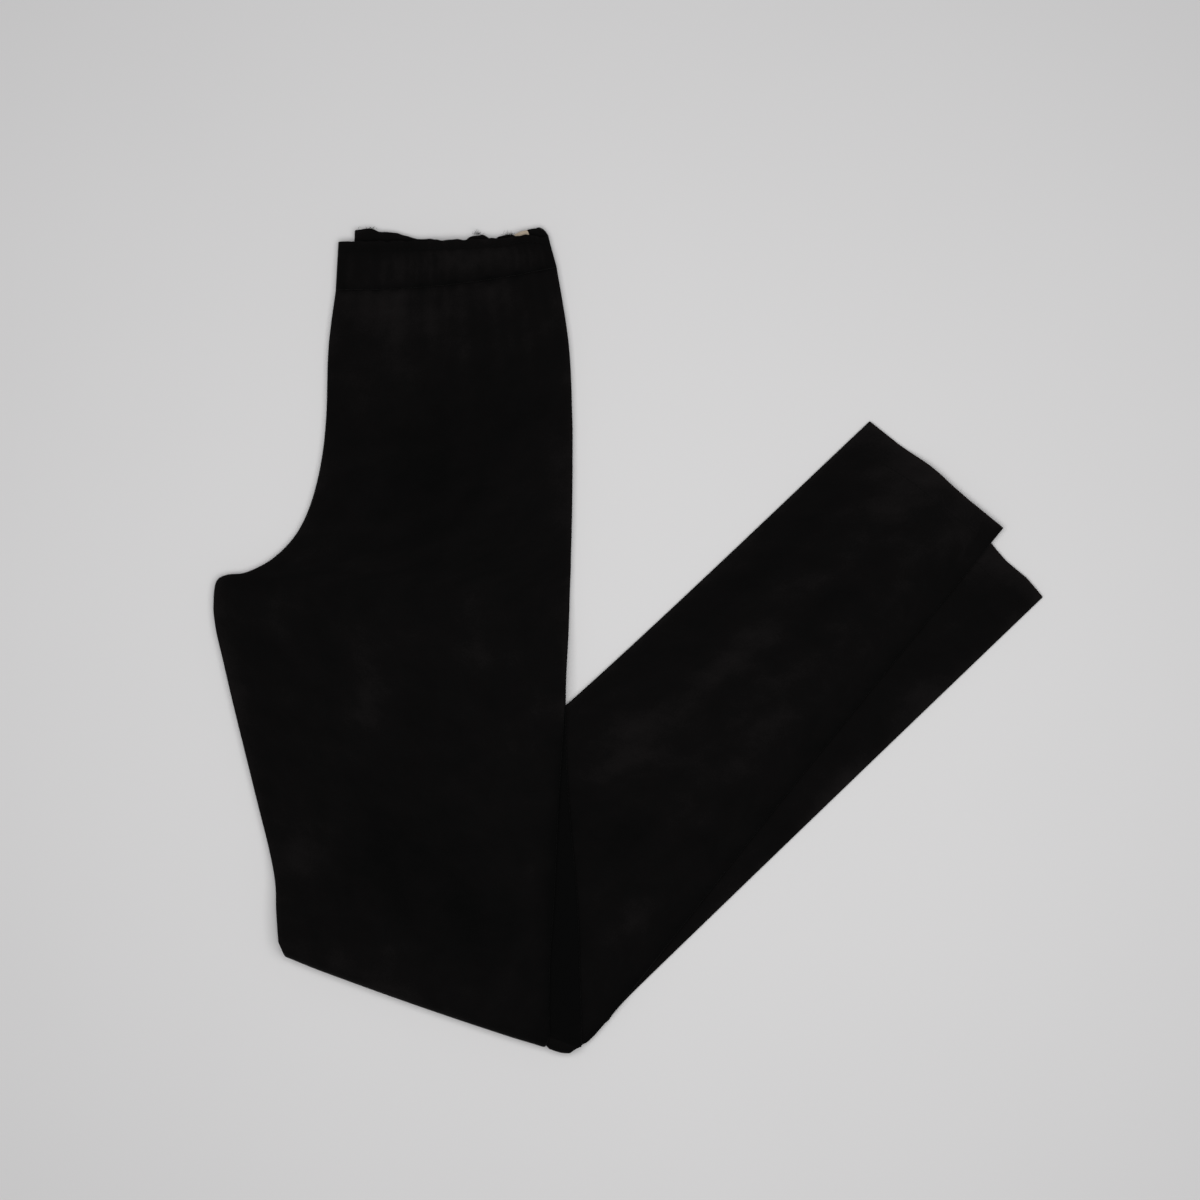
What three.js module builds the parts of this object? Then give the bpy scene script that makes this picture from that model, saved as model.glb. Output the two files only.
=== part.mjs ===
// Black stretch-suede skinny trousers with an elasticated waistband, lying folded on a flat surface.
// They are folded in half down the middle, one leg on the other, and then folded under at the knee.
//
// Every piece is a wall of cloth: a ring of section points, lofted down the leg. A section is laid out
// in the folded stack of layers, and each row of the leg says where that stack is: flat on the surface
// or on the shins (thigh rows), round the knee fold (fold rows), or upside down under it (shin rows).
import * as THREE from "three";

// ---- Driving sizes, millimetres. X is to the right, Y towards the waist, Z up from the surface ----
const SUEDE = 1.4; // wall of a leg panel: suede with its stretch backing
const BAND_WALL = 1.8; // waistband: casing with the elastic inside
const PITCH = 2.2; // from one layer of the stack to the next
const SEAM_GAP = 0.3; // between two pieces where they are sewn together
const LAYERS = { underFront: 0, underBack: 1, topBack: 2, topFront: 3 }; // up from the inside of the fold
const STACK = 3 * PITCH + SUEDE; // four layers, lying flat
const FOLD_GAP = 0.8; // between thighs and shins, inside the knee fold
const RAISED = STACK + FOLD_GAP; // how far the thighs are lifted where the shins lie under them
const FOLD_AXIS_Z = STACK + FOLD_GAP / 2;
const EDGE_STEPS = 2; // facets round an edge
const FOLD_STEPS = 6; // facets round the knee fold
const SPAN_STEPS = 9; // columns across a leg
const NAP_BLACK = 0x0d0c0d;
const LABEL_BEIGE = 0xcdbfae;

// ---- Where the garment's edges lie ----
// Thigh rows, from the waistband's seam to the knee fold. (ix, iy) is on the inner edge, which is the
// centre front above the crotch and the inseam below it, and (ox, oy) is on the side seam.
// sag: how far the middle of the row hangs below the straight line between its ends.
// turn: how far the front panels' inner edge turns over, down to the seam.
// inset, back: the back panels' inner edge lies this far in, and turns this far towards the front.
const THIGH = [
  { ix: -195.0, iy: 233.0, ox: -47.5, oy: 248.0, sag: 4.5, turn: 3.15, inset: 12.5, back: -0.95, steps: 2 },
  { ix: -199.8, iy: 195.0, ox: -39.6, oy: 198.0, sag: 2.0, turn: 3.15, inset: 12.0, back: -0.95, steps: 2 },
  { ix: -201.3, iy: 150.0, ox: -37.2, oy: 150.0, sag: 0.0, turn: 3.15, inset: 11.0, back: -0.95, steps: 1 },
  { ix: -204.5, iy: 120.0, ox: -37.0, oy: 118.0, sag: 0.0, turn: 3.15, inset: 10.0, back: -0.95, steps: 1 },
  { ix: -211.3, iy: 92.0, ox: -37.2, oy: 92.0, sag: 0.0, turn: 3.15, inset: 9.0, back: -0.95, steps: 1 },
  { ix: -221.5, iy: 70.5, ox: -37.6, oy: 72.0, sag: 0.0, turn: 3.15, inset: 8.0, back: -0.95, steps: 1 },
  { ix: -237.0, iy: 54.4, ox: -38.0, oy: 57.0, sag: 0.0, turn: 2.6, inset: 6.5, back: -0.95, steps: 1 },
  { ix: -254.5, iy: 45.2, ox: -38.2, oy: 47.0, sag: 0.0, turn: 1.8, inset: 5.0, back: -0.95, steps: 1 },
  { ix: -267.0, iy: 43.6, ox: -38.5, oy: 39.0, sag: 0.0, turn: 1.2, inset: 3.5, back: -0.6, steps: 1 },
  { ix: -274.3, iy: 39.2, ox: -38.8, oy: 31.0, sag: 0.0, turn: 0.95, inset: 2.0, back: 0.0, steps: 1 },
  { ix: -276.2, iy: 25.0, ox: -39.1, oy: 19.0, sag: 0.0, turn: 0.95, inset: 0.0, back: 0.95, steps: 1 },
  { ix: -274.8, iy: 8.0, ox: -39.7, oy: 3.0, sag: 0.0, turn: 0.95, inset: 0.0, back: 0.95, steps: 1 },
  { ix: -269.3, iy: -16.0, ox: -40.8, oy: -18.0, sag: 0.0, turn: 0.95, inset: 0.0, back: 0.95, steps: 1 },
  { ix: -262.3, iy: -46.0, ox: -42.2, oy: -46.0, sag: 0.0, turn: 0.95, inset: 0.0, back: 0.95, steps: 3 },
  { ix: -247.5, iy: -106.0, ox: -46.2, oy: -110.0, sag: 0.0, turn: 0.95, inset: 0.0, back: 0.95, steps: 3 },
  { ix: -235.6, iy: -155.0, ox: -49.0, oy: -170.0, sag: 0.0, turn: 0.95, inset: 0.0, back: 0.95, steps: 2 },
  { ix: -233.6, iy: -180.0, ox: -52.0, oy: -218.0, sag: 0.0, turn: 0.95, inset: 0.0, back: 0.95, steps: 2 },
  { ix: -232.1, iy: -200.0, ox: -52.3, oy: -262.9, sag: 0.0, turn: 0.95, inset: 0.0, back: 0.95, steps: 0 },
];
// Shin rows, from the knee fold to the hem. The under leg is uppermost here, because the shins are
// folded under, and the two legs lie slightly apart at the hem.
const UNDER_SHIN = [
  { ix: -232.1, iy: -200.0, ox: -31.1, oy: -270.3, sag: 0.0, steps: 1 },
  { ix: -196.0, iy: -168.6, ox: -8.0, oy: -246.5, sag: 0.0, steps: 2 },
  { ix: -42.0, iy: -44.0, ox: 108.0, oy: -100.0, sag: 0.0, steps: 3 },
  { ix: 161.3, iy: 146.0, ox: 250.0, oy: 74.6, sag: 0.0, steps: 0 },
];
const TOP_SHIN = [
  { ix: -232.1, iy: -200.0, ox: -52.3, oy: -262.9, sag: 0.0, steps: 1 },
  { ix: -200.0, iy: -175.0, ox: -17.5, oy: -256.8, sag: 0.0, steps: 1 },
  { ix: -165.0, iy: -150.0, ox: 8.0, oy: -230.6, sag: 0.0, steps: 2 },
  { ix: 20.0, iy: -17.2, ox: 151.5, oy: -92.0, sag: 0.0, steps: 3 },
  { ix: 199.5, iy: 112.0, ox: 276.9, oy: 28.5, sag: 0.0, steps: 0 },
];
// The waistband's top edge, on the same ends as a row. The back of the waist is cut higher.
const BAND_TOP = { ix: -193.2, iy: 265.3, ox: -53.2, oy: 268.6, sag: 0.8 };
const BACK_BAND_INSET = 11.0;
const BAND_ROWS = 2;
// The elastic gathers the back of the waist, and each gather stands above the top edge as a lobe.
const LOBES = [
  { at: -171.5, wide: 34, high: 8.6 },
  { at: -151.0, wide: 20, high: 5.4 },
  { at: -135.0, wide: 20, high: 2.4 },
  { at: -99.0, wide: 15, high: 3.4 },
  { at: -81.5, wide: 13, high: 3.2 },
  { at: -60.2, wide: 15, high: 6.2 },
];
// How the under leg's side seam drifts out past the top leg's, down to the knee fold.
const DRIFT = { from: -20.0, to: -262.9, by: 22.5 };
// The thighs climb onto the shins over this width, ending this far outside the shins' inner edge.
const CLIMB = { width: 60.0, clear: 3.0 };
// The under leg's shin leaves the other shin at its inner edge and comes down to the surface.
const SETTLE = { width: 22.0, clear: 3.0, by: 2 * PITCH };
// The under leg's fold stands out where the top leg no longer holds it.
const SLACK = { by: 4.0, over: 6.0, clear: 1.0 };
// The seams draw the ends of the knee fold in, most at its middle, which rounds the garment's corners.
const CORNER = { inner: 6.5, outer: 3.5 };
// Soft ridges below the waistband, and the lift of the front band over the label.
const GATHER = { lift: 0.9, high: 1.1, every: 35.0, reach: 70.0, margin: 14.0 };

// ---- Small helpers ----
const lerp = (a, b, t) => a + (b - a) * t;
const smooth = (t) => {
  const s = Math.min(1, Math.max(0, t));
  return s * s * (3 - 2 * s);
};
const along = (from, to) => new THREE.Vector2(to.ix - from.ix, to.iy - from.iy).normalize();
const lastThigh = THIGH[THIGH.length - 1];
const foldAlong = new THREE.Vector2(lastThigh.ox - lastThigh.ix, lastThigh.oy - lastThigh.iy).normalize();
const foldOut = new THREE.Vector2(foldAlong.y, -foldAlong.x); // away from the cloth, square to the fold
const underShinAlong = along(UNDER_SHIN[0], UNDER_SHIN[2]);
const topShinAlong = along(TOP_SHIN[0], TOP_SHIN[4]);

// How far a point is from the line through a row's inner end, on the side away from the shin.
function outside(point, row, direction) {
  return (point.y - row.iy) * direction.x - (point.x - row.ix) * direction.y;
}
function climb(point) {
  const away = outside(point, UNDER_SHIN[0], underShinAlong);
  return RAISED * smooth((CLIMB.width + CLIMB.clear - away) / CLIMB.width);
}
function settle(point) {
  const away = outside(point, TOP_SHIN[0], topShinAlong);
  return SETTLE.by * smooth((away - SETTLE.clear) / SETTLE.width);
}
function slack(point) {
  const past = (point.x - lastThigh.ox) * foldAlong.x + (point.y - lastThigh.oy) * foldAlong.y;
  return SLACK.by * smooth((past - SLACK.clear) / SLACK.over);
}

// A smooth curve through the rows' own values: a Catmull-Rom spline in every column.
function spline(rows, index, t) {
  const at = (i) => rows[Math.min(rows.length - 1, Math.max(0, i))];
  const [a, b, c, d] = [at(index - 1), at(index), at(index + 1), at(index + 2)];
  const row = {};
  for (const key of Object.keys(b)) {
    const slope0 = (c[key] - a[key]) / 2;
    const slope1 = (d[key] - b[key]) / 2;
    const t2 = t * t;
    const t3 = t2 * t;
    row[key] =
      (2 * t3 - 3 * t2 + 1) * b[key] + (t3 - 2 * t2 + t) * slope0 + (3 * t2 - 2 * t3) * c[key] + (t3 - t2) * slope1;
  }
  return row;
}
function finer(rows) {
  const found = [];
  rows.forEach((row, i) => {
    for (let k = 0; k < row.steps; k++) found.push(spline(rows, i, k / row.steps));
  });
  found.push({ ...rows[rows.length - 1] });
  return found;
}

// ---- Rows: where a stack point lies in space ----
// place(point, height) takes a point in plan and a height in the stack, up from the fold's inside.
const onThigh = (point, height) => new THREE.Vector3(point.x, point.y, climb(point) + height);
const roundFold = (turn, loose) => (point, height) => {
  const reach = FOLD_GAP / 2 + height + (loose ? slack(point) * Math.sin(turn) : 0);
  const out = reach * Math.sin(turn);
  return new THREE.Vector3(
    point.x + foldOut.x * out,
    point.y + foldOut.y * out,
    FOLD_AXIS_Z + reach * Math.cos(turn),
  );
};
const onTopShin = (point, height) => new THREE.Vector3(point.x, point.y, STACK - height);
const onUnderShin = (point, height) => new THREE.Vector3(point.x, point.y, STACK - height - settle(point));

// All the rows of one leg: down the thigh, round the fold and along the shin.
function legRows(under) {
  const rows = finer(THIGH).map((row) => ({ ...row, place: onThigh }));
  if (under)
    for (const row of rows) {
      const drift = DRIFT.by * smooth((DRIFT.from - row.oy) / (DRIFT.from - DRIFT.to));
      const length = Math.hypot(row.ox - row.ix, row.oy - row.iy);
      row.ox += (drift * (row.ox - row.ix)) / length;
      row.oy += (drift * (row.oy - row.iy)) / length;
    }
  const knee = rows[rows.length - 1];
  for (let k = 1; k < FOLD_STEPS; k++) {
    const turn = (Math.PI * k) / FOLD_STEPS;
    const [inner, outer] = [CORNER.inner, under ? CORNER.outer : 0].map((by) => by * Math.sin(turn));
    rows.push({
      ...knee,
      ix: knee.ix + foldAlong.x * inner,
      iy: knee.iy + foldAlong.y * inner,
      ox: knee.ox - foldAlong.x * outer,
      oy: knee.oy - foldAlong.y * outer,
      place: roundFold(turn, under),
    });
  }
  const sewn = { turn: knee.turn, inset: knee.inset, back: knee.back };
  const place = under ? onUnderShin : onTopShin;
  for (const row of finer(under ? UNDER_SHIN : TOP_SHIN)) rows.push({ ...row, ...sewn, place });
  return rows;
}

// The point of a row's plan line that is s millimetres from its inner end.
const rowLength = (row) => Math.hypot(row.ox - row.ix, row.oy - row.iy);
function planPoint(row, s) {
  const share = s / rowLength(row);
  const hang = row.sag * 4 * share * (1 - share);
  return new THREE.Vector2(lerp(row.ix, row.ox, share), lerp(row.iy, row.oy, share) - hang);
}

// ---- Sections: points from the inner edge to the side seam, midway through the wall ----
// Each has its place s along the row, its height in the stack and the normal of the wall's upper face.
const flat = (s, height) => ({ s, height, tilt: 0, upright: 1 });
const SEWN_TURN = PITCH / 2 - SEAM_GAP / 2; // from a layer down or up to the seam beside it
const LEAST_TURN = 0.02; // an edge that turns by less is as good as flat
const WIDEST_EDGE = 20.0; // so a nearly flat edge's long arc is cut off here

// A turned edge, from the seam (end) to where the cloth is flat. It turns through a quarter circle of
// radius turn (down if negative), or through less where it turns by less than SEWN_TURN.
function turnedEdge(end, inwards, turn, height) {
  const by = Math.max(LEAST_TURN, Math.abs(turn));
  const angle = (Math.PI / 2) * Math.min(1, by / SEWN_TURN);
  const radius = by / (1 - Math.cos(angle));
  const points = [];
  for (let k = 0; k <= EDGE_STEPS; k++) {
    const bend = angle * (1 - k / EDGE_STEPS);
    points.push({
      s: end + inwards * Math.min(WIDEST_EDGE, radius * (Math.sin(angle) - Math.sin(bend))),
      height: height + Math.sign(turn) * radius * (1 - Math.cos(bend)),
      tilt: Math.sign(turn) * inwards * Math.sin(bend),
      upright: Math.cos(bend),
    });
  }
  return points;
}
function panelSection(row, layer) {
  const front = layer === LAYERS.topFront || layer === LAYERS.underFront;
  const towardsFront = layer >= LAYERS.topBack ? 1 : -1;
  const height = SUEDE / 2 + layer * PITCH;
  const length = rowLength(row);
  const innerTurn = towardsFront * (front ? -row.turn : row.back);
  const inner = turnedEdge(SUEDE / 2 + (front ? 0 : row.inset), 1, innerTurn, height);
  const sideTurn = towardsFront * (front ? -SEWN_TURN : SEWN_TURN);
  const side = turnedEdge(length - SUEDE / 2, -1, sideTurn, height).reverse();
  const start = inner[inner.length - 1].s;
  const span = [];
  for (let k = 1; k < SPAN_STEPS; k++) span.push(flat(lerp(start, side[0].s, k / SPAN_STEPS), height));
  return [...inner, ...span, ...side];
}
// One half of the waistband, folded round the centre seam: in along its upper layer, round the fold
// and back out along its lower one.
function bandSection(row, upper, lower, inset, columns) {
  const [high, low] = [upper, lower].map((layer) => BAND_WALL / 2 + layer * PITCH);
  const radius = (high - low) / 2;
  const start = inset + BAND_WALL / 2 + radius;
  const end = rowLength(row) - BAND_WALL / 2;
  const down = upper === LAYERS.topFront ? -SEWN_TURN : SEWN_TURN;
  const sheet = (height, turn) => {
    const points = turnedEdge(end, -1, turn, height);
    const from = points[points.length - 1].s;
    for (let k = 1; k <= columns; k++) points.push(flat(lerp(from, start, k / columns), height));
    return points;
  };
  const fold = [];
  for (let k = 1; k < 2 * EDGE_STEPS; k++) {
    const bend = (Math.PI * k) / (2 * EDGE_STEPS);
    fold.push({
      s: start - radius * Math.sin(bend),
      height: low + radius * (1 + Math.cos(bend)),
      tilt: -Math.sin(bend),
      upright: Math.cos(bend),
    });
  }
  const under = sheet(low, -down).reverse();
  return [...sheet(high, down), ...fold, ...under.map((p) => ({ ...p, tilt: -p.tilt, upright: -p.upright }))];
}

// A section's ring in space: the wall's upper face out and its lower face back.
function ring(row, section, wall) {
  const face = (side) =>
    section.map((point) => {
      const shift = (side * wall) / 2;
      return row.place(planPoint(row, point.s + shift * point.tilt), point.height + shift * point.upright);
    });
  return [...face(1), ...face(-1).reverse()];
}

// Rings of equal length, joined into one closed skin with flat ends. Both faces of the wall are split
// along the same diagonals, so that neighbouring layers stay the same distance apart.
function loft(rings) {
  const count = rings[0].length;
  const positions = rings.flat().flatMap((point) => [point.x, point.y, point.z]);
  const faces = [];
  for (let i = 0; i + 1 < rings.length; i++)
    for (let j = 0; j < count; j++) {
      const [a, b] = [i * count + j, i * count + ((j + 1) % count)];
      const [d, c] = [a + count, b + count];
      if (j < count / 2) faces.push(a, b, c, a, c, d);
      else faces.push(a, b, d, b, c, d);
    }
  const last = (rings.length - 1) * count;
  for (let j = 0; j + 1 < count / 2; j++) {
    const across = count - 1 - j;
    faces.push(j, across, across - 1, j, across - 1, j + 1);
    faces.push(last + j, last + j + 1, last + across - 1, last + j, last + across - 1, last + across);
  }
  const geometry = new THREE.BufferGeometry();
  geometry.setAttribute("position", new THREE.Float32BufferAttribute(positions, 3));
  geometry.setIndex(signedVolume(positions, faces) < 0 ? faces.reverse() : faces);
  geometry.computeVertexNormals();
  return geometry;
}
function signedVolume(positions, faces) {
  let volume = 0;
  const corner = (i) => new THREE.Vector3().fromArray(positions, 3 * i);
  for (let i = 0; i < faces.length; i += 3)
    volume += corner(faces[i]).dot(corner(faces[i + 1]).cross(corner(faces[i + 2])));
  return volume;
}

// ---- Materials ----
const suede = (roughness) =>
  new THREE.MeshStandardMaterial({ color: NAP_BLACK, roughness, metalness: 0 });
const woven = new THREE.MeshStandardMaterial({ color: LABEL_BEIGE, roughness: 0.8, metalness: 0 });

// ---- Leg panels ----
// Soft ridges that the elastic draws up in the front, fading towards both ends of the row.
function gather(row, s) {
  const margin = Math.min(s, rowLength(row) - s) / GATHER.margin;
  const wave = 0.5 - 0.5 * Math.cos((2 * Math.PI * s) / GATHER.every);
  return smooth(margin) * (GATHER.lift + GATHER.high * wave);
}
function legPanel(name, layer) {
  const rows = legRows(layer < LAYERS.topBack);
  const rings = rows.map((row) => {
    const section = panelSection(row, layer);
    const below = THIGH[0].oy - row.oy;
    if (layer === LAYERS.topFront && row.place === onThigh)
      for (const point of section) point.height += (1 - smooth(below / GATHER.reach)) * gather(row, point.s);
    return ring(row, section, SUEDE);
  });
  const mesh = new THREE.Mesh(loft(rings), suede(1));
  mesh.name = name;
  return mesh;
}

// ---- Waistband ----
// The rise of the back's top edge over the straight line: the highest lobe that stands there.
function lobeRise(x) {
  const rises = LOBES.map((lobe) => {
    const t = (2 * (x - lobe.at)) / lobe.wide;
    return Math.abs(t) < 1 ? lobe.high * Math.sqrt(1 - t * t) : 0;
  });
  return Math.max(0, ...rises);
}
function bandPiece(name, upper, lower, inset, columns, rise) {
  const rings = [];
  for (let k = 0; k <= BAND_ROWS; k++) {
    const share = k / BAND_ROWS;
    const row = { place: (point, height) => new THREE.Vector3(point.x, point.y + share * rise(point.x), height) };
    for (const key of ["ix", "iy", "ox", "oy", "sag"]) row[key] = lerp(THIGH[0][key], BAND_TOP[key], share);
    row.iy += (1 - share) * SEAM_GAP;
    row.oy += (1 - share) * SEAM_GAP;
    const section = bandSection(row, upper, lower, inset, columns);
    const over = BAND_WALL + LAYERS.topBack * PITCH;
    if (upper === LAYERS.topFront)
      for (const point of section) if (point.height > over) point.height += gather(row, point.s);
    rings.push(ring(row, section, BAND_WALL));
  }
  const mesh = new THREE.Mesh(loft(rings), suede(0.95));
  mesh.name = name;
  return mesh;
}

// ---- Label ----
// A short woven tab, sewn inside the back of the waistband and standing just above its edge.
const LABEL = { x: -69.3, y: 265.4, wide: 10.0, tall: 15.0, thick: 0.5, lean: 0.34 };
function label() {
  const geometry = new THREE.BoxGeometry(LABEL.wide, LABEL.tall, LABEL.thick);
  const mesh = new THREE.Mesh(geometry, woven);
  mesh.name = "label";
  const bandTop = BAND_WALL + LAYERS.topBack * PITCH;
  mesh.position.set(LABEL.x, LABEL.y, bandTop + SEAM_GAP + LABEL.thick / 2);
  mesh.rotation.z = LABEL.lean;
  return mesh;
}

// ---- Assembly ----
const trousers = new THREE.Group();
trousers.add(legPanel("leg_top_front", LAYERS.topFront));
trousers.add(legPanel("leg_top_back", LAYERS.topBack));
trousers.add(legPanel("leg_under_back", LAYERS.underBack));
trousers.add(legPanel("leg_under_front", LAYERS.underFront));
trousers.add(bandPiece("waistband_front", LAYERS.topFront, LAYERS.underFront, 0, 18, () => 0));
trousers.add(bandPiece("waistband_back", LAYERS.topBack, LAYERS.underBack, BACK_BAND_INSET, 28, lobeRise));
trousers.add(label());

export default trousers;
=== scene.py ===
# %% [markdown]
# # Black suede trousers, folded in half and folded under at the knee
# The garment is a stack of four layers of suede: each leg has a front and a back panel, and one leg
# lies on the other. Below the knee the whole stack turns back under itself, so the shins come out
# from beneath the thighs with the under leg uppermost. Every piece here is the real cut piece, a
# thin closed wall of cloth, worked out with numpy as a grid of points along and across the leg.

import bpy
import numpy as np
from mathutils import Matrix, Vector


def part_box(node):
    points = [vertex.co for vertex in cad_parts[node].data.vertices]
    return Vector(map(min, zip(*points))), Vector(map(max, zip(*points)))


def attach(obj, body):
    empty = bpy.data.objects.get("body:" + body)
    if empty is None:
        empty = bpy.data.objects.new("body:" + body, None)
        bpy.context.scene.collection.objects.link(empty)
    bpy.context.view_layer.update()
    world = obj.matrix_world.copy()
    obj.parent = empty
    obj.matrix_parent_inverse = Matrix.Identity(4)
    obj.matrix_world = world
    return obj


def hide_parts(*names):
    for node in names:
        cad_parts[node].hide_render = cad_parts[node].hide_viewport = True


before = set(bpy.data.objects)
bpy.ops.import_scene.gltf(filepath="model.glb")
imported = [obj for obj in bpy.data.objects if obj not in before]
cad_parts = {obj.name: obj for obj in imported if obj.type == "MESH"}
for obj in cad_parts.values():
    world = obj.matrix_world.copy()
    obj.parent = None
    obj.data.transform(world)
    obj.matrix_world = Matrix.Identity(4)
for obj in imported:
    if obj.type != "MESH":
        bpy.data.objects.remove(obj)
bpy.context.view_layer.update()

# %% [markdown]
# ## Sizes
# A folded garment is easiest to describe by its stack. Heights count up from the inside of the knee
# fold, through the under leg's front panel, both back panels and the top leg's front panel. The
# thickness of that stack comes from the frame: the thighs lie on the shins, so the highest point
# of the top leg is two stacks and the gap between them.

# %% Sizes of the cloth and of the stack, in millimetres
MM = 0.001
SUEDE = 1.4
BAND_WALL = 1.8
SEAM_GAP = 0.3
FOLD_GAP = 0.8
ROW_SPACING = 3.0
SPAN_COLUMNS = 76
EDGE_COLUMNS = 7
FOLD_ROWS = 18
UNDER_FRONT, UNDER_BACK, TOP_BACK, TOP_FRONT = range(4)

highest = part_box("leg_top_front")[1].z / MM
STACK = (highest - FOLD_GAP) / 2
PITCH = (STACK - SUEDE) / 3
RAISED = STACK + FOLD_GAP
SEWN_TURN = (PITCH - SEAM_GAP) / 2
TOP_MIDDLE = SUEDE / 2 + 3 * PITCH
print("stack of four layers:", round(STACK, 2), "mm, one layer every", round(PITCH, 2), "mm")


def smooth(t):
    """Zero up to t = 0, one from t = 1, and an S-shaped ramp between them."""
    t = np.clip(t, 0.0, 1.0)
    return t * t * (3.0 - 2.0 * t)


def mix(a, b, t):
    """A share t of the way from a to b."""
    return a + (b - a) * t


# %% [markdown]
# ## Rows down the leg
# A pattern cutter gives a leg as widths at a few heights. Here each row has its inner end (centre
# front, then inseam) and its outer end (side seam). At the crotch the front panels' edge turns right
# down to the seam, and the back panels' edge lies a little further in. A smooth curve through the
# rows gives as many more as the mesh needs.

# %% Rows of the thighs and shins
COLUMNS = ("ix", "iy", "ox", "oy", "sag", "turn", "inset", "back")
THIGH = np.array([
    (-195.0, 233.0, -47.5, 248.0, 4.5, 3.15, 12.5, -0.95),
    (-199.8, 195.0, -39.6, 198.0, 2.0, 3.15, 12.0, -0.95),
    (-201.3, 150.0, -37.2, 150.0, 0.0, 3.15, 11.0, -0.95),
    (-204.5, 120.0, -37.0, 118.0, 0.0, 3.15, 10.0, -0.95),
    (-211.3, 92.0, -37.2, 92.0, 0.0, 3.15, 9.0, -0.95),
    (-221.5, 70.5, -37.6, 72.0, 0.0, 3.15, 8.0, -0.95),
    (-237.0, 54.4, -38.0, 57.0, 0.0, 2.6, 6.5, -0.95),
    (-254.5, 45.2, -38.2, 47.0, 0.0, 1.8, 5.0, -0.95),
    (-267.0, 43.6, -38.5, 39.0, 0.0, 1.2, 3.5, -0.6),
    (-274.3, 39.2, -38.8, 31.0, 0.0, 0.95, 2.0, 0.0),
    (-276.2, 25.0, -39.1, 19.0, 0.0, 0.95, 0.0, 0.95),
    (-274.8, 8.0, -39.7, 3.0, 0.0, 0.95, 0.0, 0.95),
    (-269.3, -16.0, -40.8, -18.0, 0.0, 0.95, 0.0, 0.95),
    (-262.3, -46.0, -42.2, -46.0, 0.0, 0.95, 0.0, 0.95),
    (-247.5, -106.0, -46.2, -110.0, 0.0, 0.95, 0.0, 0.95),
    (-235.6, -155.0, -49.0, -170.0, 0.0, 0.95, 0.0, 0.95),
    (-233.6, -180.0, -52.0, -218.0, 0.0, 0.95, 0.0, 0.95),
    (-232.1, -200.0, -52.3, -262.9, 0.0, 0.95, 0.0, 0.95),
])
UNDER_SHIN = np.array([
    (-232.1, -200.0, -31.1, -270.3, 0.0, 0.95, 0.0, 0.95),
    (-196.0, -168.6, -8.0, -246.5, 0.0, 0.95, 0.0, 0.95),
    (-42.0, -44.0, 108.0, -100.0, 0.0, 0.95, 0.0, 0.95),
    (161.3, 146.0, 250.0, 74.6, 0.0, 0.95, 0.0, 0.95),
])
TOP_SHIN = np.array([
    (-232.1, -200.0, -52.3, -262.9, 0.0, 0.95, 0.0, 0.95),
    (-200.0, -175.0, -17.5, -256.8, 0.0, 0.95, 0.0, 0.95),
    (-165.0, -150.0, 8.0, -230.6, 0.0, 0.95, 0.0, 0.95),
    (20.0, -17.2, 151.5, -92.0, 0.0, 0.95, 0.0, 0.95),
    (199.5, 112.0, 276.9, 28.5, 0.0, 0.95, 0.0, 0.95),
])
BAND_TOP = np.array((-193.2, 265.3, -53.2, 268.6, 0.8, 3.15, 12.5, -0.95))
DRIFT_FROM, DRIFT_TO, DRIFT_BY = -20.0, -262.9, 22.5
CLIMB_WIDTH, CLIMB_CLEAR = 60.0, 3.0
SETTLE_WIDTH, SETTLE_CLEAR, SETTLE_BY = 22.0, 3.0, 2 * PITCH
# At the knee: how far the seams draw the fold's ends in, how far it bows out between them, how much
# the inner layers are pressed closer, and how the under leg swells past the top leg's seam.
CORNER_INNER, CORNER_UNDER = 6.5, 5.0
FOLD_BOW, SQUEEZE, SQUEEZE_OVER = 1.6, 2.3, 14.0
SLACK_BY, SLACK_OVER, SLACK_CLEAR = 3.2, 1.8, -0.7
SLACK_LOST, SLACK_FADE_FROM, SLACK_FADE = 0.7, 9.0, 15.0

# The tables are drawn round the frame's origin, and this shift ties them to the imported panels.
leg_low, leg_high = (np.array(c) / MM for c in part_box("leg_top_back"))
shift = np.array((leg_low[0] - THIGH[:, 0].min(), leg_high[1] - THIGH[0, 3]))
for rows_of in (THIGH, UNDER_SHIN, TOP_SHIN):
    rows_of[:, 0:4] += np.tile(shift, 2)
BAND_TOP[0:4] += np.tile(shift, 2)
print("shift onto the frame, mm:", np.round(shift, 3))
knee_start, knee_end = THIGH[-1, 0:2], THIGH[-1, 2:4]
fold_along = (knee_end - knee_start) / np.linalg.norm(knee_end - knee_start)
fold_out = np.array((fold_along[1], -fold_along[0]))


def curve_through(table, spacing):
    """The smooth curve that passes through every row of a table, in every column at once: between two
    rows it is the cubic whose slope at each row is half the step from the row before to the row after."""
    before = table[np.maximum(np.arange(len(table)) - 1, 0)]
    after = table[np.minimum(np.arange(len(table)) + 1, len(table) - 1)]
    slope = (after - before) / 2
    steps = np.linalg.norm(np.diff(table[:, 0:4], axis=0), axis=1) / np.sqrt(2)
    counts = np.maximum(2, np.round(steps / spacing)).astype(int)
    spots = [i + np.arange(c) / c for i, c in enumerate(counts)] + [[len(table) - 1.0]]
    u = np.concatenate(spots)
    i = np.minimum(u.astype(int), len(table) - 2)
    t = (u - i)[:, None]
    t2, t3 = t * t, t * t * t
    return (
        (2 * t3 - 3 * t2 + 1) * table[i]
        + (t3 - 2 * t2 + t) * slope[i]
        + (3 * t2 - 2 * t3) * table[i + 1]
        + (t3 - t2) * slope[i + 1]
    )


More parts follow.
